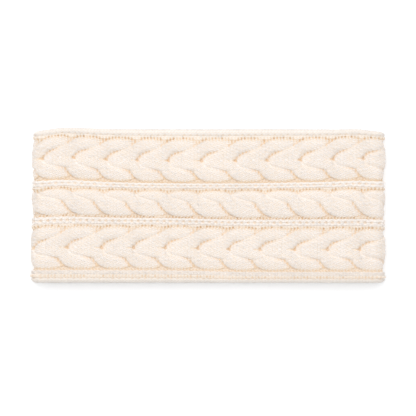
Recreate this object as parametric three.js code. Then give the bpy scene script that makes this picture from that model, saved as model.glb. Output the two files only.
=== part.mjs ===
// Cable-knit ear warmer headband, lying flat: one knitted loop folded double, with raised cables, ribs and
// rolled edges that run round it. Millimetres, +X along the flat length, +Y across the band, +Z up, origin
// under its middle on the surface that it lies on.
import * as THREE from "three";

// The band as it lies.
const flatLength = 236; // from fold to fold
const foldRadius = 6.2; // outer face of the ground where the band turns back on itself
const topSag = 1.4; // how far the upper layer sinks between its folds
const restPress = 0.4; // how far the lobes under the band are pressed flat by its weight
const rowBow = 1.6; // how far the rows hang towards the bottom edge in the middle of the upper layer
const foldNarrowing = 1.4; // how much the top edge draws in at each fold
const foldNarrowingReach = 16; // how far from the fold that starts
const foldLean = 1.3; // how far the left fold leans in at the top edge

// The knitted fabric.
const groundThickness = 2.4;
const cableHeight = 3.3; // of a lobe's crown over the ground
const ribHeight = 2.7;
const edgeHeight = 1.9; // of a rolled edge over the ground's face
const wideCableWidth = 27.2;
const ropeCableWidth = 17.2;
const upperRibWidth = 3.6;
const lowerRibWidth = 5.5;
const hemRibWidth = 2.6;
const edgeWidth = 4.4;
const grooveWidth = 2.25; // bare ground beside a column
const clearance = 0.3; // between pieces
const lobeRepeats = 22; // lobes of each cable round the whole loop
const notchDepth = 1.6; // how far a cable's outline draws in between two lobes
const seamWidth = 2.6;
const seamHeight = 0.9;

// Facets.
const lobeSteps = 6; // stations in one lobe
const foldSteps = 8; // stations round one fold of a plain column
const runSteps = 8; // stations along one straight layer of a plain column
const edgeCorners = 8;

// The columns from the top edge down, with the bare space after each one. A cable's phase is the share of a
// repeat by which its first lobe starts before the middle of the upper layer.
const columns = [
  { name: "top_edge", kind: "edge", width: edgeWidth, after: grooveWidth },
  { name: "upper_cable", kind: "horseshoe", width: wideCableWidth, after: clearance, phase: -0.186 },
  { name: "upper_rib", kind: "rib", width: upperRibWidth, after: grooveWidth },
  { name: "centre_cable", kind: "rope", width: ropeCableWidth, after: clearance, phase: -0.26 },
  { name: "lower_rib", kind: "rib", width: lowerRibWidth, after: grooveWidth },
  { name: "lower_cable", kind: "horseshoe", width: wideCableWidth, after: clearance, phase: -0.339 },
  { name: "hem_rib", kind: "rib", width: hemRibWidth, after: grooveWidth },
  { name: "bottom_edge", kind: "edge", width: edgeWidth, after: 0 },
];
const bandWidth = columns.reduce((sum, column) => sum + column.width + column.after, 0);

// Shares that shape a cable's lobes, from its start at t = 0 to its end at t = 1 across the column.
const lobe = {
  lag: 0.92, // how far a lobe runs round the loop while it crosses, in repeats
  turnFrom: 0.05, // where across the column it turns from steep to flat
  turnTo: 0.8, // and back again
  valleyShare: 0.32, // height of the crease between lobes
  fullness: 0.7, // under 1 is a fuller crown
  shoulder: 3.2, // over 2 keeps the height nearer to the cable's side
};
const lobeAcross = [0, 0.25, 0.38, 0.5, 0.63, 0.84, 1]; // close together where a lobe lags most
const ropeStart = 0.12; // a rope's side needs one more place near its first border

// Colours: warm cream yarn, a shade deeper where the stitches sit low.
const yarn = { ground: 0xeadccb, cable: 0xf6ebdf, rib: 0xf8efe4, edge: 0xf1e5d8, seam: 0xe6d8c6 };

// The loop, as a line along the ground's outer face. It starts at the middle of the upper layer and runs to
// the right fold, back under the band and up the left fold.
const columnHeight = clearance + cableHeight;
const halfRun = flatLength / 2 - columnHeight - foldRadius;
const foldLength = Math.PI * foldRadius;
const loopLength = 4 * halfRun + 2 * foldLength;
const lobeLength = loopLength / lobeRepeats;
const lowerFace = columnHeight - restPress;
const upperFace = lowerFace + 2 * foldRadius;

const smooth = (from, to, value) => THREE.MathUtils.smoothstep(value, from, to);

// The place on the loop at a distance along it, and the way out of the fabric there.
function loopAt(along) {
  const distance = THREE.MathUtils.euclideanModulo(along + halfRun, loopLength);
  const middle = (lowerFace + upperFace) / 2;
  if (distance < 2 * halfRun) {
    const x = distance - halfRun;
    const rest = 1 - (x / halfRun) ** 2;
    return { x, z: upperFace - topSag * rest ** 2, outX: 0, outZ: 1, folded: false };
  }
  const under = distance - 2 * halfRun - foldLength;
  if (under > 0 && under < 2 * halfRun) {
    return { x: halfRun - under, z: lowerFace, outX: 0, outZ: -1, folded: false };
  }
  const right = under <= 0;
  const turned = right ? under + foldLength : under - 2 * halfRun;
  const angle = turned / foldRadius;
  const side = right ? 1 : -1;
  const outX = side * Math.sin(angle);
  const outZ = side * Math.cos(angle);
  return { x: side * halfRun + foldRadius * outX, z: middle + foldRadius * outZ, outX, outZ, folded: true };
}

// A point of the fabric: along the loop, across the band from its middle, and out from the ground's face,
// with the bow of the rows and the drawn-in folds that the lying band has. Nothing goes below the surface
// that it lies on.
function fabricPoint(along, across, out) {
  const at = loopAt(along);
  const x = at.x + at.outX * out;
  const z = at.z + at.outZ * out;
  const lengthShare = (2 * x) / flatLength;
  const widthShare = (2 * across) / bandWidth;
  const bow = rowBow * (1 - lengthShare ** 2) * (1 - widthShare ** 2);
  const nearFold = smooth(flatLength / 2 - foldNarrowingReach, flatLength / 2, Math.abs(x));
  const upperShare = (1 + widthShare) / 2;
  const narrowing = foldNarrowing * nearFold * upperShare;
  const lean = x < 0 ? foldLean * upperShare * lengthShare ** 2 : 0;
  return new THREE.Vector3(x + lean, across - bow - narrowing, Math.max(z, 0));
}

// A closed ring: a section of so many corners, carried round the loop in so many stations. Its last corner
// meets the first one of a later station, by as much as the section leads there. Each four-sided facet is
// split along its shorter diagonal, which keeps the folds round.
function ringGeometry(stations, corners, pointAt, lead = 0) {
  const points = [];
  for (let station = 0; station < stations; station += 1) {
    for (let corner = 0; corner < corners; corner += 1) {
      points.push(pointAt(station, corner));
    }
  }
  const vertex = (station, corner) => (station % stations) * corners + corner;
  const faces = [];
  points.forEach((point, here) => {
    const station = Math.floor(here / corners);
    const corner = here % corners;
    const besideStation = corner === corners - 1 ? station + lead : station;
    const besideCorner = (corner + 1) % corners;
    const beside = vertex(besideStation, besideCorner);
    const opposite = vertex(besideStation + 1, besideCorner);
    const ahead = vertex(station + 1, corner);
    if (points[here].distanceTo(points[opposite]) < points[beside].distanceTo(points[ahead])) {
      faces.push(here, beside, opposite, here, opposite, ahead);
    } else {
      faces.push(here, beside, ahead, beside, opposite, ahead);
    }
  });
  const geometry = new THREE.BufferGeometry().setFromPoints(points);
  geometry.setIndex(faces);
  geometry.computeVertexNormals();
  return geometry;
}

// Stations of a plain column, close together round the folds and far apart along the layers.
function plainStations() {
  const stations = [];
  for (const start of [-halfRun, halfRun + foldLength]) {
    for (let step = 0; step < runSteps; step += 1) {
      stations.push(start + (2 * halfRun * step) / runSteps);
    }
    for (let step = 0; step < foldSteps; step += 1) {
      stations.push(start + 2 * halfRun + (foldLength * step) / foldSteps);
    }
  }
  return stations;
}

// A plain column from a section of [across, out] corners.
function plainRing(section) {
  const stations = plainStations();
  return ringGeometry(stations.length, section.length, (station, corner) =>
    fabricPoint(stations[station], section[corner][0], section[corner][1]),
  );
}

function groundSection() {
  const reach = bandWidth / 2 - edgeWidth - clearance;
  return [
    [reach, -groundThickness],
    [reach, 0],
    [-reach, 0],
    [-reach, -groundThickness],
  ];
}

// A rib is a low ridge with a round back.
function ribSection(centre, width) {
  const crown = ribHeight + clearance;
  return [
    [centre + width / 2, clearance],
    [centre + width / 2, crown * 0.62],
    [centre + width / 4, crown],
    [centre - width / 4, crown],
    [centre - width / 2, crown * 0.62],
    [centre - width / 2, clearance],
  ];
}

// A rolled edge is as deep as the ground and stands a little over its face.
function edgeSection(centre, width) {
  const depth = groundThickness + edgeHeight;
  const middle = (edgeHeight - groundThickness) / 2;
  const section = [];
  for (let corner = 0; corner < edgeCorners; corner += 1) {
    const angle = (2 * Math.PI * (corner + 0.5)) / edgeCorners;
    const roundness = Math.cos(Math.PI / edgeCorners);
    section.push([
      centre + ((width / 2) * Math.cos(angle)) / roundness,
      middle + ((depth / 2) * Math.sin(angle)) / roundness,
    ]);
  }
  return section;
}

// How far a lobe has moved round the loop at t across its column, in repeats: steep, flat, then steep.
function lobeLag(t) {
  return lobe.lag * smooth(lobe.turnFrom, lobe.turnTo, t);
}

// Height of a lobe over the ground as a share, at p from its own crease to the next. Where the lobes start,
// each lies over the next one, and where they end it slips under it, so the crown moves from the far side to
// the near side.
function lobeCrown(p, t) {
  const overlap = Math.cos(Math.PI * t);
  const skewed = p - overlap * (p - p * p);
  return lobe.valleyShare + (1 - lobe.valleyShare) * Math.sin(Math.PI * skewed) ** lobe.fullness;
}

// A cable ring. The lobes of a horseshoe start at its middle and run out to both sides, and those of a rope
// run from its upper side to its lower one. Its two borders lie on the ground.
function cableRing(column, centre) {
  const isRope = column.kind === "rope";
  const ropeShares = [0, ropeStart, ...lobeAcross.slice(1)].map((t) => 1 - 2 * t);
  const horseshoeShares = [...lobeAcross.slice(1).reverse(), ...lobeAcross.map((t) => -t)];
  const shares = isRope ? ropeShares : horseshoeShares;
  const step = lobeLength / lobeSteps;
  const foldChord = step ** 2 / (8 * foldRadius); // a facet cuts this far inside the fold's curve
  const pointAt = (station, corner) => {
    const share = shares[corner];
    const t = isRope ? (1 - share) / 2 : Math.abs(share);
    const p = (station % lobeSteps) / lobeSteps;
    const along = (station / lobeSteps + lobeLag(t) + column.phase) * lobeLength;
    const notch = notchDepth * Math.abs(share) ** 3 * (1 - Math.sin(Math.PI * p)) ** 2;
    const across = centre + share * (column.width / 2) - Math.sign(share) * notch;
    const shoulder = Math.sqrt(1 - Math.abs(share) ** lobe.shoulder);
    const height = cableHeight * shoulder * lobeCrown(p, t);
    const standOff = loopAt(along).folded ? foldChord * (1 - shoulder) : 0;
    return fabricPoint(along, across, clearance + standOff + height);
  };
  const lead = isRope ? Math.round(lobe.lag * lobeSteps) : 0;
  return ringGeometry(lobeRepeats * lobeSteps, shares.length, pointAt, lead);
}

// The flat seam lies across the inside of the lower layer, at the centre back.
function seamGeometry() {
  const reach = bandWidth / 2 - edgeWidth - clearance;
  const profile = new THREE.Shape();
  profile.moveTo(-seamWidth / 2, 0);
  profile.lineTo(seamWidth / 2, 0);
  profile.quadraticCurveTo(seamWidth / 2, seamHeight, 0, seamHeight);
  profile.quadraticCurveTo(-seamWidth / 2, seamHeight, -seamWidth / 2, 0);
  const geometry = new THREE.ExtrudeGeometry(profile, {
    depth: 2 * reach,
    bevelEnabled: false,
    curveSegments: 3,
  });
  geometry.translate(0, 0, -reach);
  geometry.rotateX(Math.PI / 2);
  geometry.translate(0, 0, lowerFace + groundThickness + clearance);
  return geometry;
}

function knitPiece(name, geometry, color) {
  const material = new THREE.MeshStandardMaterial({ color, roughness: 0.95, metalness: 0 });
  const piece = new THREE.Mesh(geometry, material);
  piece.name = name;
  return piece;
}

function columnPiece(column, centre) {
  if (column.kind === "edge") {
    return knitPiece(column.name, plainRing(edgeSection(centre, column.width)), yarn.edge);
  }
  if (column.kind === "rib") {
    return knitPiece(column.name, plainRing(ribSection(centre, column.width)), yarn.rib);
  }
  return knitPiece(column.name, cableRing(column, centre), yarn.cable);
}

const headband = new THREE.Group();
headband.add(knitPiece("ground_band", plainRing(groundSection()), yarn.ground));
let columnTop = bandWidth / 2;
for (const column of columns) {
  headband.add(columnPiece(column, columnTop - column.width / 2));
  columnTop -= column.width + column.after;
}
headband.add(knitPiece("back_seam", seamGeometry(), yarn.seam));

export default headband;
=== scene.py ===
import math

import bpy
import numpy as np
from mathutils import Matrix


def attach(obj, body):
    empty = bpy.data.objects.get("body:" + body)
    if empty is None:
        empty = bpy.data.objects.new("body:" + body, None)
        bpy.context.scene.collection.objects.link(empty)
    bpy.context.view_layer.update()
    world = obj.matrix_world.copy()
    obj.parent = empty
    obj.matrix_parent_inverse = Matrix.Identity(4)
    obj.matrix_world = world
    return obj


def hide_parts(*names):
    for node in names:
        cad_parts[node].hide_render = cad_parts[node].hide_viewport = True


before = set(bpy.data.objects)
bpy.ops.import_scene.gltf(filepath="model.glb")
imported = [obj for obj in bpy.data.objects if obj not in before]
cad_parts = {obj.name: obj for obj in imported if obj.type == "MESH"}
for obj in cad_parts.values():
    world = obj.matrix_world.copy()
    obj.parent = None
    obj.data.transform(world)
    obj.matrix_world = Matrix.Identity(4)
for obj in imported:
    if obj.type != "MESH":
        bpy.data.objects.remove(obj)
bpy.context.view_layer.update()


# The ground
# One wall of cream acrylic knitting, purl side out, closed to a loop that lies here folded double. The
# raised columns are knitted into it, so it shows only in the grooves between them and on the inside.

fold_to_fold = 0.236
fold_radius = 0.0062
column_height = 0.0036
band_width = 0.102
half_run = fold_to_fold / 2 - column_height - fold_radius
loop_length = 4 * half_run + 2 * math.pi * fold_radius
lower_face = 0.0032
upper_face = lower_face + 2 * fold_radius
rows_round = 220
rows_in_a_lobe = 10
lobes_round = rows_round // rows_in_a_lobe
stations_in_a_row = 5
stitch_row = loop_length / rows_round
lobe_length = rows_in_a_lobe * stitch_row
wale = 0.0024
along = np.arange(rows_round * stations_in_a_row) * stitch_row / stations_in_a_row - half_run
along = along[:, None]
row_count = along / stitch_row

# How the lying band departs from a straight strip. Its top layer sinks, and its columns sag, each by the
# depth at its place between the bottom edge at -1 and the top edge at 1. The lower half slopes a little, and
# the top edge draws in at the folds, swells, waves and leans over at the left.
top_sinks = 0.0014
sag_places = [-1.0, -0.92, -0.27, -0.13, 0.23, 0.36, 0.90, 1.0]
sag_depths = [0.0, 0.0001, 0.0001, 0.0011, 0.0016, 0.0028, 0.0021, 0.0]
lower_slope = 0.0006
slope_turns_over = 0.02
fold_reach = 0.024
fold_narrowing = 0.0022
left_swell = 0.0010
left_swell_at = -0.091
left_swell_reach = 0.022
top_wave = 0.0005
top_wave_reach = 0.012
left_lean = 0.0013


def lay(along, across, out):
    """The band as it lies. Along the top it is straight and sinks a little in the middle, at each fold it
    turns a half circle, and it runs back straight underneath. Each column sags by its own share towards the
    bottom edge in the middle, the top edge draws in at the folds, and what would go through the table is
    pressed flat."""
    distance = np.mod(along + half_run, loop_length)
    on_top = distance < 2 * half_run
    under = distance - 2 * half_run - math.pi * fold_radius
    below = (under > 0) & (under < 2 * half_run)
    straight = on_top | below
    right = under <= 0
    angle = np.where(right, under + math.pi * fold_radius, under - 2 * half_run) / fold_radius
    side = np.where(right, 1.0, -1.0)
    rest = 1 - ((distance - half_run) / half_run) ** 2
    out_x = np.where(straight, 0.0, side * np.sin(angle))
    out_z = np.where(on_top, 1.0, np.where(below, -1.0, side * np.cos(angle)))
    path_x = np.where(on_top, distance - half_run, np.where(below, half_run - under, side * half_run))
    path_x = path_x + np.where(straight, 0.0, fold_radius * out_x)
    middle = (lower_face + upper_face) / 2
    path_z = np.where(on_top, upper_face - top_sinks * rest**2, np.where(below, lower_face, middle))
    path_z = path_z + np.where(straight, 0.0, fold_radius * out_z)
    x = path_x + out_x * out
    z = path_z + out_z * out
    length_share = 2 * x / fold_to_fold
    width_share = 2 * across / band_width
    upper_share = (1 + width_share) / 2
    bow = np.interp(width_share, sag_places, sag_depths) * (1 - length_share**2)
    lower_share = np.interp(width_share, [-1, -0.9, -0.1, 0.2], [0, 1, 1, 0])
    bow = bow + lower_slope * np.tanh(x / slope_turns_over) * lower_share
    reach = np.clip((np.abs(x) - fold_to_fold / 2 + fold_reach) / fold_reach, 0, 1)
    narrowing = fold_narrowing * reach**2 * (3 - 2 * reach) * upper_share
    swell = left_swell * np.exp(-(((x - left_swell_at) / left_swell_reach) ** 2)) * upper_share
    wave = top_wave * np.cos(x / top_wave_reach) * length_share**2 * upper_share**2
    narrowing = narrowing - swell + wave
    lean = np.where(x < 0, left_lean * upper_share * length_share**2, 0.0)
    y = across - bow - narrowing
    return np.stack(np.broadcast_arrays(x + lean, y, np.maximum(z, 0.0)), axis=-1)


def bend(along):
    """How far a point is round a fold: 0 on the straight layers, 1 where the band turns hardest."""
    half_loop = 2 * half_run + math.pi * fold_radius
    turned = (np.mod(along + half_run, half_loop) - 2 * half_run) / fold_radius
    return np.sin(np.clip(turned, 0, math.pi))


def in_one_row(values):
    """An array's numbers one after the other, as a mesh takes them."""
    return np.asarray(values, dtype=np.float32).reshape(-1)


def set_out(name, mesh):
    """A mesh as an object of the scene, at the origin and unturned."""
    piece = bpy.data.objects.new(name, mesh)
    bpy.context.collection.objects.link(piece)
    return piece


def knit_ring(name, points, painted_shade, stitch, strips=3):
    """A closed ring of faces over a grid, stations round the loop by corners round the column. It carries
    how much painted shade each point takes, in the creases and hollows where shade falls, its place in the
    stitches (wale, row, and how far they are drawn), and its own flat map, in which the ring is cut into
    strips that lie above each other."""
    stations, corners = points.shape[:2]
    here = np.arange(stations * corners).reshape(stations, corners)
    ahead = np.roll(here, -1, axis=0)
    quads = np.stack([here, np.roll(here, -1, axis=1), np.roll(ahead, -1, axis=1), ahead], axis=-1)
    quads = quads.reshape(-1, 4)
    mesh = bpy.data.meshes.new(name)
    mesh.vertices.add(points.size // 3)
    mesh.vertices.foreach_set("co", in_one_row(points))
    mesh.loops.add(quads.size)
    mesh.loops.foreach_set("vertex_index", quads.reshape(-1).astype(np.int32))
    mesh.polygons.add(len(quads))
    mesh.polygons.foreach_set("loop_start", np.arange(0, quads.size, 4, dtype=np.int32))
    mesh.polygons.foreach_set("loop_total", np.full(len(quads), 4, dtype=np.int32))
    mesh.polygons.foreach_set("use_smooth", np.ones(len(quads), dtype=bool))
    per_strip = -(-stations // strips)
    number = np.arange(stations)
    start = (number % per_strip)[:, None, None]
    strip = (number // per_strip)[:, None, None]
    gaps = np.linalg.norm(np.roll(points, -1, axis=1) - points, axis=-1).mean(axis=0)
    edge = np.concatenate([[0.0], np.cumsum(gaps)]) / gaps.sum()
    first = edge[:-1][None, :, None]
    second = edge[1:][None, :, None]
    over = np.concatenate([first, second, second, first], axis=2)
    over = np.broadcast_to(over, (stations, corners, 4))
    step = np.broadcast_to(np.array([0.0, 0.0, 1.0, 1.0]), (stations, corners, 4))
    flat_u = 0.01 + 0.98 * (start + step) / per_strip
    flat_v = (strip + 0.02 + 0.96 * over) / strips
    flat_map = mesh.uv_layers.new(name="OFBake")
    flat_map.data.foreach_set("uv", in_one_row(np.stack([flat_u, flat_v], axis=-1)))
    # The painted shade: how much darker and warmer each point is coloured where shade falls.
    deep = mesh.attributes.new("painted_shade", "FLOAT", "POINT")
    deep.data.foreach_set("value", in_one_row(np.broadcast_to(painted_shade, (stations, corners))))
    # Each face's corners carry their own place in the stitches, so the count runs on where the ring closes.
    stitch = np.broadcast_to(stitch, points.shape)
    beside = np.concatenate([stitch[:, 1:], 2 * stitch[:, -1:] - stitch[:, -2:-1]], axis=1)
    this_station = np.stack([stitch, beside], axis=2)
    next_station = np.concatenate([this_station[1:], this_station[:1] + [0.0, rows_round, 0.0]])
    at_corners = np.concatenate([this_station, next_station[:, :, ::-1]], axis=2)
    place = mesh.attributes.new("stitch", "FLOAT_VECTOR", "CORNER")
    place.data.foreach_set("vector", in_one_row(at_corners))
    mesh.update(calc_edges=True)
    return set_out(name, mesh)


# By how much of a row a stitch's leg leans from its wale's middle to its side.
leg_lean = 0.8


def yarn_finish(name, colour, painted_shade_colour, hollow_shade=0.0):
    """Soft matte yarn. The colour drifts in soft patches, flecked by the fibres, and painted shade turns it
    warmer and darker in the creases, and in the hollows between the stitches by the share given. Bumps draw
    the two legs of each stitch, the plies twisted in each leg and the loose fibres; the down is a sheen."""
    material = bpy.data.materials.new(name)
    material.use_nodes = True
    nodes = material.node_tree.nodes
    link = material.node_tree.links.new
    shader = nodes["Principled BSDF"]
    place = nodes.new("ShaderNodeTexCoord")

    def sum_of(operation, *values):
        """One step of arithmetic on numbers or on other steps' results."""
        step = nodes.new("ShaderNodeMath")
        step.operation = operation
        for socket, value in zip(step.inputs, values):
            if isinstance(value, (int, float)):
                socket.default_value = value
            else:
                link(value, socket)
        return step.outputs["Value"]

    def noise(scale, roughness):
        """Soft noise that stays in its place on the piece."""
        cloud = nodes.new("ShaderNodeTexNoise")
        cloud.inputs["Scale"].default_value = scale
        cloud.inputs["Detail"].default_value = 4
        cloud.inputs["Roughness"].default_value = roughness
        link(place.outputs["Object"], cloud.inputs["Vector"])
        return cloud.outputs["Fac"]

    def brightness(cloud, least, most):
        """The noise as a factor on the colour, from its least to its most."""
        factor = nodes.new("ShaderNodeMapRange")
        factor.inputs["From Min"].default_value = 0.3
        factor.inputs["From Max"].default_value = 0.7
        factor.inputs["To Min"].default_value = least
        factor.inputs["To Max"].default_value = most
        link(cloud, factor.inputs["Value"])
        return factor.outputs["Result"]

    painted_shade = nodes.new("ShaderNodeAttribute")
    painted_shade.attribute_name = "painted_shade"
    stitch = nodes.new("ShaderNodeAttribute")
    stitch.attribute_name = "stitch"
    stitch_parts = nodes.new("ShaderNodeSeparateXYZ")
    link(stitch.outputs["Vector"], stitch_parts.inputs["Vector"])
    wales, rows, drawn = stitch_parts.outputs

    side = sum_of("MULTIPLY", sum_of("PINGPONG", wales, 0.5), 2.0)
    leg_row = sum_of("MULTIPLY_ADD", side, leg_lean, rows)
    leg_part = sum_of("FRACT", leg_row)
    leg_across = sum_of("SINE", sum_of("MULTIPLY", side, math.pi))
    leg_along = sum_of("SINE", sum_of("MULTIPLY", leg_part, math.pi))
    leg = sum_of("POWER", sum_of("MAXIMUM", sum_of("MULTIPLY", leg_across, leg_along), 0.0), 0.5)
    ply_turn = sum_of("MULTIPLY_ADD", side, 9.0, sum_of("MULTIPLY", leg_row, 4 * math.pi))
    plies = sum_of("MULTIPLY", sum_of("ABSOLUTE", sum_of("SINE", ply_turn)), leg)

    # Painted shade: the hollows between the legs, by their share, and the creases mix the colour towards the
    # shade colour.
    hollow = sum_of("MULTIPLY_ADD", leg, -1.0, 1.0)
    hollow = sum_of("MULTIPLY", sum_of("MULTIPLY", hollow, hollow), drawn)
    shade = nodes.new("ShaderNodeMix")
    shade.data_type = "RGBA"
    shade.inputs["A"].default_value = (*colour, 1)
    shade.inputs["B"].default_value = (*painted_shade_colour, 1)
    link(sum_of("MULTIPLY_ADD", hollow, hollow_shade, painted_shade.outputs["Fac"]), shade.inputs["Factor"])
    fibres = noise(1500, 0.65)
    patches = brightness(noise(55, 0.5), 0.975, 1.015)
    flecks = brightness(fibres, 0.965, 1.025)
    tinted = nodes.new("ShaderNodeVectorMath")
    tinted.operation = "SCALE"
    link(shade.outputs["Result"], tinted.inputs[0])
    link(sum_of("MULTIPLY", patches, flecks), tinted.inputs["Scale"])
    link(tinted.outputs["Vector"], shader.inputs["Base Color"])

    relief = sum_of("MULTIPLY", sum_of("MULTIPLY_ADD", plies, 0.22, leg), drawn)
    bump = nodes.new("ShaderNodeBump")
    bump.inputs["Strength"].default_value = 0.55
    bump.inputs["Distance"].default_value = 0.0003
    link(sum_of("MULTIPLY_ADD", fibres, 0.7, relief), bump.inputs["Height"])
    link(bump.outputs["Normal"], shader.inputs["Normal"])
    shader.inputs["Roughness"].default_value = 0.92
    shader.inputs["Specular IOR Level"].default_value = 0.2
    shader.inputs["Sheen Weight"].default_value = 0.25
    shader.inputs["Sheen Roughness"].default_value = 0.6
    return material


def finished(piece, node, material):
    """The piece takes its material, stands for its CAD node and rides on the one body."""
    piece.data.materials.append(material)
    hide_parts(node)
    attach(piece, "root")


# Each cable's place: where its lobes start along the band, in lobes, and its middle across the band.
upper_place = (-0.186, 0.0324)
rope_place = (-0.26, 0.00255)
lower_place = (-0.339, -0.02815)


def lobes_along(place):
    """How many lobes of a cable lie before each station of the loop. Two slow waves, with a whole number of
    turns round the loop, make some lobes a little longer than others."""
    start, centre = place
    count = along / lobe_length - start
    count = count + 0.035 * np.sin(2 * math.pi * 3 * count / lobes_round + 1.1 + 40 * centre)
    return count + 0.025 * np.sin(2 * math.pi * 7 * count / lobes_round + 0.4 + 90 * centre)


def scallop(share):
    """How far a lobe's border draws in towards its ends: 0 in its middle, 1 where two lobes meet."""
    return (1 - np.sin(math.pi * np.mod(share, 1.0))) ** 1.7


ground_half = 0.0486
ground_wall = 0.0024
ground_out = 0.0002
# Each groove in which the ground shows: its middle, its half width and where its row of holes runs. Then
# come how far that row follows the notches of the cable below it, that cable's place, and by how many lobes
# the notches lag behind it.
grooves = [
    (0.0466, 0.0011, 0.0462, 0.0012, upper_place, 0.95),
    (0.0124, 0.0011, 0.0122, 0.0012, rope_place, 0.0),
    (-0.0133, 0.0011, -0.0136, 0.0012, lower_place, 0.95),
    (-0.0466, 0.0011, -0.0467, 0.0, lower_place, 0.0),
]
# Where two columns touch and the ground shows as a line of holes, and where it comes up to the rolled edges.
touching = [0.0182, -0.0068, -0.0425]
beside_edges = [0.0474, -0.0477]
hem_groove = -0.0466
groove_places = np.concatenate([middle + half * np.linspace(1, -1.7, 11) for middle, half, *_ in grooves])
touching_places = np.concatenate([middle + 0.0011 * np.linspace(-1, 1, 6) for middle in touching])
edge_places = np.concatenate([middle + 0.0006 * np.linspace(-1, 1, 3) for middle in beside_edges])
broad_places = np.linspace(-ground_half, ground_half, 8)
outer_places = np.concatenate([groove_places, touching_places, edge_places, broad_places])
outer_places = np.sort(outer_places)[::-1]
inner_places = np.linspace(-ground_half, ground_half, 14)
places = np.concatenate([outer_places, inner_places])[None, :]
on_outside = np.concatenate([np.ones(len(outer_places)), np.zeros(len(inner_places))])[None, :]
# The ground rises in a groove, and reaches into the notches between the lobes of the cable below.
in_groove = 0
hole_lines = []
for middle, half, line, follows, place, behind in grooves:
    notches = scallop(lobes_along(place) - behind)
    reach_in = 0.6 * follows * notches
    in_groove = in_groove + np.exp(-(((places - middle + reach_in) / (1.25 * half + reach_in)) ** 4))
    hole_lines.append(line - follows * notches)
beside_hem = np.exp(-(((places - hem_groove) / 0.0014) ** 4))
joints = sum(np.exp(-(((places - middle) / 0.0010) ** 2)) for middle in touching)
seat = sum(np.exp(-(((places - middle) / 0.0009) ** 2)) for middle in beside_edges)
tension = np.random.default_rng(3)


def uneven_holes(start, rows=2, least=0.35):
    """A hole every so many rows, from 0 between holes to 1 in the middle of a deep one: the cube of a sine.
    Each hole has a depth of its own, as hand-tight and hand-slack stitches do."""
    depths = tension.uniform(least, 1.0, rows_round // rows)
    beat = row_count / rows + start
    number = np.floor(beat).astype(int) % (rows_round // rows)
    return depths[number] * np.sin(math.pi * np.mod(beat, 1.0)) ** 3


# How wide every row of holes is, how deep each one is, and how far its holes run together into one line.
hole_width = 0.0008
hole_depths = [0.0018, 0.0018, 0.0018, 0.0009, 0.0011, 0.0018, 0.0008]
run_together = [0.1, 0.1, 0.1, 0.1, 0.5, 0.1, 0.5]
pits = sum(
    depth * np.exp(-(((places - line) / hole_width) ** 2))
    * (joined + (1 - joined) * uneven_holes(90 * np.max(line), 1, 0.1))
    for line, depth, joined in zip(hole_lines + touching, hole_depths, run_together)
)
# How far the ground rises where columns touch, beside the rolled edges and in a groove, and by how much more
# it does there beside the hem and round the folds. A hole's painted shade is full from the depth given on.
joint_rise = 0.0020
seat_rise = 0.0013
groove_rise = 0.0014
hem_groove_rise = 0.0007
folded_groove_rise = 0.0016
fully_shaded_depth = 0.0010
under_columns_shade = 0.28
raised = np.maximum(joint_rise * joints, seat_rise * seat)
groove_height = groove_rise + hem_groove_rise * beside_hem + folded_groove_rise * bend(along)
raised = np.maximum(raised, in_groove * groove_height)
outer_face = ground_out + raised - pits
wall = on_outside * outer_face - (1 - on_outside) * ground_wall
# Painted shade on the ground: in its holes, and a share where it runs under the columns.
ground_shade = pits / fully_shaded_depth + under_columns_shade * (1 - in_groove) * (1 - joints)
ground_shade = np.clip(on_outside * ground_shade, 0, 1)
ground_stitch = np.stack(np.broadcast_arrays(places / wale, row_count, 1.0), axis=-1)
ground = knit_ring("purl_ground", lay(along, places, wall), ground_shade, ground_stitch, strips=2)
# The ground is the same yarn, coloured a warmer tan than the cables as painted shade for the grooves where
# it shows. Its second colour is its painted shade.
ground_yarn = yarn_finish("cream purl ground", (0.92, 0.85, 0.78), (0.78, 0.57, 0.37), hollow_shade=0.7)
finished(ground, "ground_band", ground_yarn)


# The cables
# Two wide horseshoe cables and one rope cable, each knitted in stocking stitch with half of its stitches
# crossed over the others every ten rows. The crossings pull the fabric up into plump overlapping lobes.

column_base = 0.0003
cable_rise = 0.0031
cable_stitch_relief = 0.0009
cable_notch = 0.0025
cable_foot = -0.0008
cable_foot_inset = 0.001
tuck_width = 0.0042
tuck_difference = 0.0024
gap_width = 0.0008
unevenness = np.random.default_rng(11).uniform(0.45, 1.0, (rows_round, 64))
plumpness = np.random.default_rng(5).uniform(0.93, 1.03, lobes_round)


def smooth(start, end, value):
    """Rises from 0 at start to 1 at end, level at both."""
    share = np.clip((value - start) / (end - start), 0, 1)
    return share * share * (3 - 2 * share)


def stocking_stitch(wales, rows):
    """The relief of stocking stitch, 0 to 1. Each wale has two legs that lean towards its middle, and each
    leg is as long as one row. No two legs are drawn quite as tight."""
    side = 2 * np.abs(wales - np.round(wales))
    leg_across = np.sin(math.pi * side)
    leg_along = np.sin(math.pi * np.mod(rows + leg_lean * side, 1.0))
    row_number = np.floor(rows + leg_lean * side).astype(int) % rows_round
    leg_number = np.floor(2 * wales).astype(int) % unevenness.shape[1]
    return unevenness[row_number, leg_number] * np.sqrt(np.clip(leg_across * leg_along, 0, 1))


def column(name, across, out, painted_shade, stitch, feet, foot_out):
    """A raised column as a closed ring: its face, and two feet below it in the ground, one under each side,
    which hold no stitches and are painted fully shaded."""
    below = np.broadcast_to(feet, (len(along), 2))
    across = np.concatenate([across, below], axis=1)
    out = np.concatenate([out, np.full(below.shape, foot_out)], axis=1)
    painted_shade = np.concatenate([painted_shade, np.ones(below.shape)], axis=1)
    stitch = np.concatenate([stitch, np.zeros((*below.shape, 3))], axis=1)
    return knit_ring(name, lay(along, across, out), painted_shade, stitch)


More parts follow.
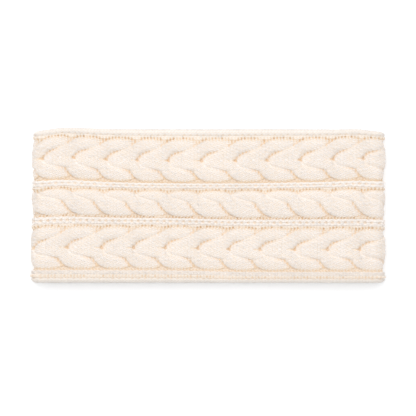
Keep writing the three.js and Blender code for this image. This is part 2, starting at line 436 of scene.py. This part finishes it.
def cable(name, place, width, rope=False):
    """A row of lobes. A lobe's border starts at the cable's middle, or at the rope's upper side, and has run
    about one lobe further along by the time it reaches the side. Each end of a lobe is a quarter of a round:
    a tight one where it lies over its neighbour, a wide one where it comes out from under it. A narrow
    dotted gap parts it from the next where the border shows, and a shallow valley where it doesn't."""
    centre = place[1]
    half = width / 2
    even = np.linspace(1, -1, 53 if rope else 86)[None, :]
    side = 0.6 * even + 0.4 * np.sin(math.pi / 2 * even)
    way_out = (1 - side) / 2 if rope else np.abs(side)
    if rope:
        lag = 0.46 * smooth(0.20, 0.48, way_out) + 0.54 * way_out**1.2
    else:
        upper_lag = 0.14 * smooth(0, 0.3, way_out) + 0.66 * smooth(0.2, 0.72, way_out)
        upper_lag = upper_lag + 0.15 * smooth(0.7, 1, way_out)
        lower_lag = 0.50 * smooth(0.23, 0.55, way_out) + 0.42 * way_out
        lag = np.where(side > 0, upper_lag, lower_lag)
    slant = np.gradient(lag[0], side[0])[None, :] * lobe_length / half
    square = 1 / np.sqrt(1 + slant**2)
    lobes = lobes_along(place)
    lobe_number = np.floor(lobes - lag)
    lobe_share = lobes - lag - lobe_number
    from_start = lobe_share * lobe_length * square
    from_end = (1 - lobe_share) * lobe_length * square
    from_edge = np.minimum(from_start, from_end)
    difference = tuck_difference * np.cos(math.pi * way_out**0.76)
    rising = 1 - (1 - np.clip(from_start / (tuck_width + difference), 0, 1)) ** 2
    falling = 1 - (1 - np.clip(from_end / (tuck_width - difference), 0, 1)) ** 2

    # Where the border shows: towards the side, and in the wide cables at the start too. The upper half of a
    # wide cable loses it for a short way between.
    shown = smooth(0.36, 0.54, way_out)
    if not rope:
        hidden = 0.88 * smooth(0.35, 0.5, way_out) * (1 - smooth(0.6, 0.8, way_out))
        shown = np.where(side > 0, 1 - hidden, shown)
        shown = np.maximum(shown, 1 - smooth(0.0, 0.12, way_out))
    dots = (0.5 + 0.5 * np.cos(2 * math.pi * row_count + 4 * way_out)) ** 1.4
    gap = shown * np.exp(-((from_edge / gap_width) ** 2))
    valley = 0.36 + 0.46 * (1 - shown)
    crown = valley + (0.94 - valley) * rising * falling + 0.06 * np.sin(math.pi * lobe_share)
    crown = crown - 0.26 * gap * dots
    crown = crown * plumpness[(lobe_number % lobes_round).astype(int)]
    shoulder = 0.12 + 0.88 * np.clip(1 - np.abs(side) ** 4.5, 0, 1) ** 0.62

    # The wales turn with the strand that they belong to, from the start of a lobe to its end.
    strand = lobes - lobe_number - 1.05
    strand_middle = 0.5 + 0.52 * strand + 0.1 * np.tanh(strand / 0.12)
    wales = (way_out - strand_middle) * (width if rope else half) / wale
    stitches = stocking_stitch(wales, row_count)
    out = column_base + cable_rise * shoulder * crown
    out = out + cable_stitch_relief * (stitches * smooth(0, 0.0012, from_edge) - 0.4) * shoulder
    rim = np.clip((np.abs(side) - 0.84) / 0.16, 0, 1)
    out = out + 0.0009 * (1 - dots) * rim**2

    # How much painted shade each gap, side and hollow takes: the dots most, and the line between them less.
    line_drawn = np.where(side > 0, 0.1, 0.1 if rope else 0.4)
    deep_end = 0.18 + 0.3 * smooth(0.5, 0.9, way_out) * (side < 0)
    painted_shade = (deep_end + (0.8 - deep_end) * dots) * gap
    painted_shade = painted_shade + (line_drawn + (0.9 - line_drawn) * dots) * rim**1.5
    painted_shade = painted_shade + 0.7 * (1 - stitches) ** 2
    if not rope:
        # In the wide cables the middle parts towards each lobe's end, with an eyelet where two lobes meet
        # there: both are dips, painted shaded as well.
        off_middle = side * half
        parting = np.exp(-((off_middle / 0.0005) ** 2)) * smooth(0.7, 0.95, lobe_share)
        to_border = np.minimum(lobe_share, 1 - lobe_share) * lobe_length
        eyelet = np.exp(-((off_middle / 0.0007) ** 2) - (to_border / 0.0008) ** 2)
        out = out - 0.0008 * parting - 0.0010 * eyelet
        painted_shade = painted_shade + 0.5 * parting + 0.8 * eyelet
    across = centre + side * half - np.sign(side) * cable_notch * np.abs(side) ** 3 * scallop(lobe_share)
    drawn = smooth(0.0001, 0.0007, from_edge)
    stitch = np.stack(np.broadcast_arrays(wales, row_count, drawn), axis=-1)
    feet = [centre - half + cable_foot_inset, centre + half - cable_foot_inset]
    return column(name, across, out, np.clip(painted_shade, 0, 1), stitch, feet, cable_foot)


# The cable yarn's second colour is its painted shade.
cable_yarn = yarn_finish("soft cream cable yarn", (0.92, 0.865, 0.830), (0.84, 0.65, 0.45))
upper_cable = cable("upper_cable_knit", upper_place, 0.0280)
centre_cable = cable("centre_cable_knit", rope_place, 0.0183, rope=True)
lower_cable = cable("lower_cable_knit", lower_place, 0.0283)
finished(upper_cable, "upper_cable", cable_yarn)
finished(centre_cable, "centre_cable", cable_yarn)
finished(lower_cable, "lower_cable", cable_yarn)


# The ribs
# Raised chains of knit stitches beside the cables. Each is two rails of yarn with a rung between them every
# other row, and a hole between the rungs into which the chain casts its shadow; the hole is painted shaded
# too.

rib_rise = 0.0023
rib_stitch_relief = 0.0011
rib_fold_rise = 0.0006
rib_foot = -0.0006
rail_width = 0.36
deepest_hole = 0.0013


def rib(name, centre, width, corners, hole_depth, rung_start):
    """Two rounded rails side by side that swing in at every rung. Between the rungs the height falls to the
    hole's depth, in a hollow that is as wide as the gap between the rails."""
    half = width / 2
    side = np.linspace(1, -1, corners)[None, :]
    beat = uneven_holes(rung_start, 2, 0.7)
    rail = 0.48 + 0.12 * beat
    shoulder = 0.40 + 0.60 * np.clip(1 - np.abs(side) ** 3, 0, 1) ** 0.8
    rails = np.exp(-(((np.abs(side) - rail) / rail_width) ** 2))
    hole = np.exp(-((side / rail_width) ** 2)) * beat
    chain = stocking_stitch(side + 0.5, row_count)
    out = column_base + rib_rise * shoulder * (0.78 + 0.16 * rails - 0.10 * beat) - hole_depth * hole
    out = out + rib_stitch_relief * (chain - 0.3) + rib_fold_rise * bend(along)
    across = centre + side * half * (0.80 + 0.20 * beat + 0.06 * chain[:, corners // 4][:, None])
    # Painted shade in the holes, down the rib's sides and between the stitches.
    shaded = hole_depth / deepest_hole * hole
    painted_shade = np.clip(0.65 * shaded + 0.4 * (1 - shoulder) ** 2 + 0.35 * (1 - chain) ** 2, 0, 1)
    stitch = np.stack(np.broadcast_arrays(side + 0.5, row_count, 1.0), axis=-1)
    feet = [centre - half * 0.8, centre + half * 0.8]
    return column(name, across, out, painted_shade, stitch, feet, rib_foot)


# The ribs' yarn is the cable yarn made paler, as painted light on the raised ribs. Its second colour is its
# painted shade.
rib_yarn = yarn_finish("cream rib yarn with painted light", (0.95, 0.905, 0.875), (0.84, 0.65, 0.45))
upper_rib = rib("upper_rib_knit", 0.0156, 0.0052, 15, hole_depth=0.0010, rung_start=0.1)
lower_rib = rib("lower_rib_knit", -0.0099, 0.0058, 19, hole_depth=deepest_hole, rung_start=0.3)
hem_rib = rib("hem_rib_knit", -0.0444, 0.0034, 13, hole_depth=0.0003, rung_start=0.6)
finished(upper_rib, "upper_rib", rib_yarn)
finished(lower_rib, "lower_rib", rib_yarn)
finished(hem_rib, "hem_rib", rib_yarn)


# The rolled edges
# The first and last wales of the band curl over into a round selvedge, plain side out, so fine lines of yarn
# run along it.

edge_middle = 0.0490
roll_half_width = 0.0023
roll_half_height = 0.0024
roll_squareness = 2.3
roll_tilt = 0.0011
roll_fold_rise = 0.0009
wales_in_a_roll = 7


def rolled_edge(name, centre, outward):
    """A rounded bar, its section an ellipse that is squared a little, drawn all round in stocking stitch,
    with a dotted row of loops where it meets the groove. The loops and the hollows between the stitches are
    painted shaded. Outward is 1 at the top edge, -1 at the bottom."""
    turn = np.linspace(0, 2 * math.pi, 29)[:-1][None, :]
    cosine = np.cos(turn)
    sine = np.sin(turn)
    squared = (np.abs(cosine) ** roll_squareness + np.abs(sine) ** roll_squareness) ** (-1 / roll_squareness)
    wales = wales_in_a_roll * turn / (2 * math.pi)
    chain = stocking_stitch(wales, row_count)
    dots = uneven_holes(0.2)
    toward_groove = np.exp(-(((cosine * outward + 0.55) / 0.25) ** 2)) * (sine > 0)
    size = 1 - 0.28 * (1 - chain) - 0.16 * toward_groove * dots
    across = centre + roll_half_width * squared * cosine * size
    tilt = roll_tilt * np.maximum(outward * cosine, 0)
    out = roll_half_height * squared * sine * size - tilt + roll_fold_rise * bend(along)
    painted_shade = np.clip(0.35 * (1 - chain) ** 2 + 0.6 * toward_groove * dots, 0, 1)
    stitch = np.stack(np.broadcast_arrays(wales, row_count, 1.0), axis=-1)
    return knit_ring(name, lay(along, across, out), painted_shade, stitch)


# The edges' yarn is the cable yarn made paler, as painted light. Its second colour is its painted shade.
edge_yarn = yarn_finish("cream edge yarn", (0.945, 0.915, 0.89), (0.82, 0.66, 0.50), hollow_shade=0.45)
top_edge = rolled_edge("top_edge_roll", edge_middle, 1)
bottom_edge = rolled_edge("bottom_edge_roll", -edge_middle, -1)
finished(top_edge, "top_edge", edge_yarn)
finished(bottom_edge, "bottom_edge", edge_yarn)


# The back seam
# Where the strip's two ends are joined at the centre back: a low flat seam of the same yarn, linked stitch
# by stitch, across the inside of the lower layer.

linked_stitches = 38


def seam(name, width, rise, half_length, base):
    """A low half round bar laid across the band, ridged at every linked stitch, and painted shaded in the
    troughs between the ridges. It tapers at both ends, and a small face closes each. The flat map is one
    strip, with the two small faces in its margin."""
    places_along = np.linspace(-1, 1, 161)[:, None]
    turn = np.linspace(0, math.pi, 13)[None, :]
    closing = np.sqrt(1 - 0.96 * np.abs(places_along) ** 60)
    ridge = 0.9 + 0.1 * np.cos(places_along * math.pi * linked_stitches)
    x = width / 2 * np.cos(turn) * closing * ridge
    y = half_length * places_along + 0 * turn
    z = base + rise * np.sin(turn) * closing * ridge
    points = np.stack(np.broadcast_arrays(x, y, z), axis=-1)
    rows, corners = points.shape[:2]
    here = np.arange(rows * corners).reshape(rows, corners)
    beside = np.roll(here, -1, axis=1)
    quads = np.stack([here[:-1], here[1:], beside[1:], beside[:-1]], axis=-1).reshape(-1, 4)
    end_faces = [here[0].tolist(), here[-1][::-1].tolist()]
    mesh = bpy.data.meshes.new(name)
    mesh.from_pydata(points.reshape(-1, 3).tolist(), [], quads.tolist() + end_faces)
    mesh.polygons.foreach_set("use_smooth", np.ones(len(quads) + 2, dtype=bool))
    corner_number = quads % corners
    flat = np.stack([quads // corners / (rows - 1), corner_number / corners], axis=-1)
    last = (corner_number == 0) & (corner_number != corner_number[:, :1])
    flat[..., 1] = np.where(last, 1.0, flat[..., 1])
    end_flat = np.stack([0.005 + 0.004 * np.cos(turn[0]), 0.4 + 0.004 * np.sin(turn[0])], axis=-1)
    flat = np.concatenate([(0.01 + 0.98 * flat).reshape(-1, 2), end_flat, end_flat[::-1] + [0.0, 0.2]])
    flat_map = mesh.uv_layers.new(name="OFBake")
    flat_map.data.foreach_set("uv", in_one_row(flat))
    deep = mesh.attributes.new("painted_shade", "FLOAT", "POINT")
    deep.data.foreach_set("value", in_one_row(np.broadcast_to(4 * (1 - ridge), (rows, corners))))
    wales = np.broadcast_to(turn / math.pi, (rows, corners))
    links = np.broadcast_to(linked_stitches / 2 * places_along, (rows, corners))
    place = mesh.attributes.new("stitch", "FLOAT_VECTOR", "POINT")
    place.data.foreach_set("vector", in_one_row(np.stack([wales, links, 0 * links + 1], axis=-1)))
    return set_out(name, mesh)


# The seam yarn's second colour is its painted shade, in the troughs between the linked stitches.
seam_yarn = yarn_finish("cream seam yarn", (0.84, 0.75, 0.65), (0.62, 0.50, 0.38))
back_seam = seam("linked_back_seam", width=0.0026, rise=0.0009, half_length=0.0463, base=0.0059)
finished(back_seam, "back_seam", seam_yarn)


# The table, the light and the camera
# The band lies on a plain white table under one large soft light from behind its top edge, with white all
# round, and is looked at from straight above.

table_reach = 3
table_level = -0.0001
table_corners = [
    (-table_reach, -table_reach, table_level),
    (table_reach, -table_reach, table_level),
    (table_reach, table_reach, table_level),
    (-table_reach, table_reach, table_level),
]
table_mesh = bpy.data.meshes.new("table")
table_mesh.from_pydata(table_corners, [], [(0, 1, 2, 3)])
table = set_out("table", table_mesh)
table_white = bpy.data.materials.new("plain white table")
table_white.use_nodes = True
table_paint = table_white.node_tree.nodes["Principled BSDF"].inputs
table_paint["Base Color"].default_value = (0.915, 0.93, 0.945, 1)
table_paint["Roughness"].default_value = 0.8
table_paint["Emission Color"].default_value = (1, 1, 1, 1)
table_paint["Emission Strength"].default_value = 0.16
table.data.materials.append(table_white)

# The room's light grows from the side of the bottom edge to the side of the top edge.
room = bpy.data.worlds.new("white room")
room.use_nodes = True
direction = room.node_tree.nodes.new("ShaderNodeTexCoord")
split = room.node_tree.nodes.new("ShaderNodeSeparateXYZ")
brighter = room.node_tree.nodes.new("ShaderNodeMapRange")
brighter.inputs["From Min"].default_value = -1
brighter.inputs["To Min"].default_value = 0.58
brighter.inputs["To Max"].default_value = 0.98
background = room.node_tree.nodes["Background"]
background.inputs["Color"].default_value = (1.0, 1.0, 1.0, 1)
room.node_tree.links.new(direction.outputs["Generated"], split.inputs["Vector"])
room.node_tree.links.new(split.outputs["Y"], brighter.inputs["Value"])
room.node_tree.links.new(brighter.outputs["Result"], background.inputs["Strength"])
bpy.context.scene.world = room

soft_light = bpy.data.lights.new("soft light", "AREA")
soft_light.shape = "RECTANGLE"
soft_light.size = 1.2
soft_light.size_y = 0.8
soft_light.energy = 6.8
lamp = set_out("soft light", soft_light)
lamp.location = (-0.10, 0.25, 1.15)
lamp.rotation_euler = (math.radians(-12.3), math.radians(-4.9), 0)

# The lens follows from how wide the picture is, measured at seen_height above the table.
camera_height = 3.0
seen_width = 0.2758
seen_height = 0.012
lens = bpy.data.cameras.new("camera")
lens.sensor_width = 36
lens.lens = lens.sensor_width / 2 / (seen_width / 2 / (camera_height - seen_height))
camera = set_out("camera", lens)
camera.location = (0, -0.0013, camera_height)
bpy.context.scene.camera = camera
bpy.context.scene.view_settings.view_transform = "Standard"
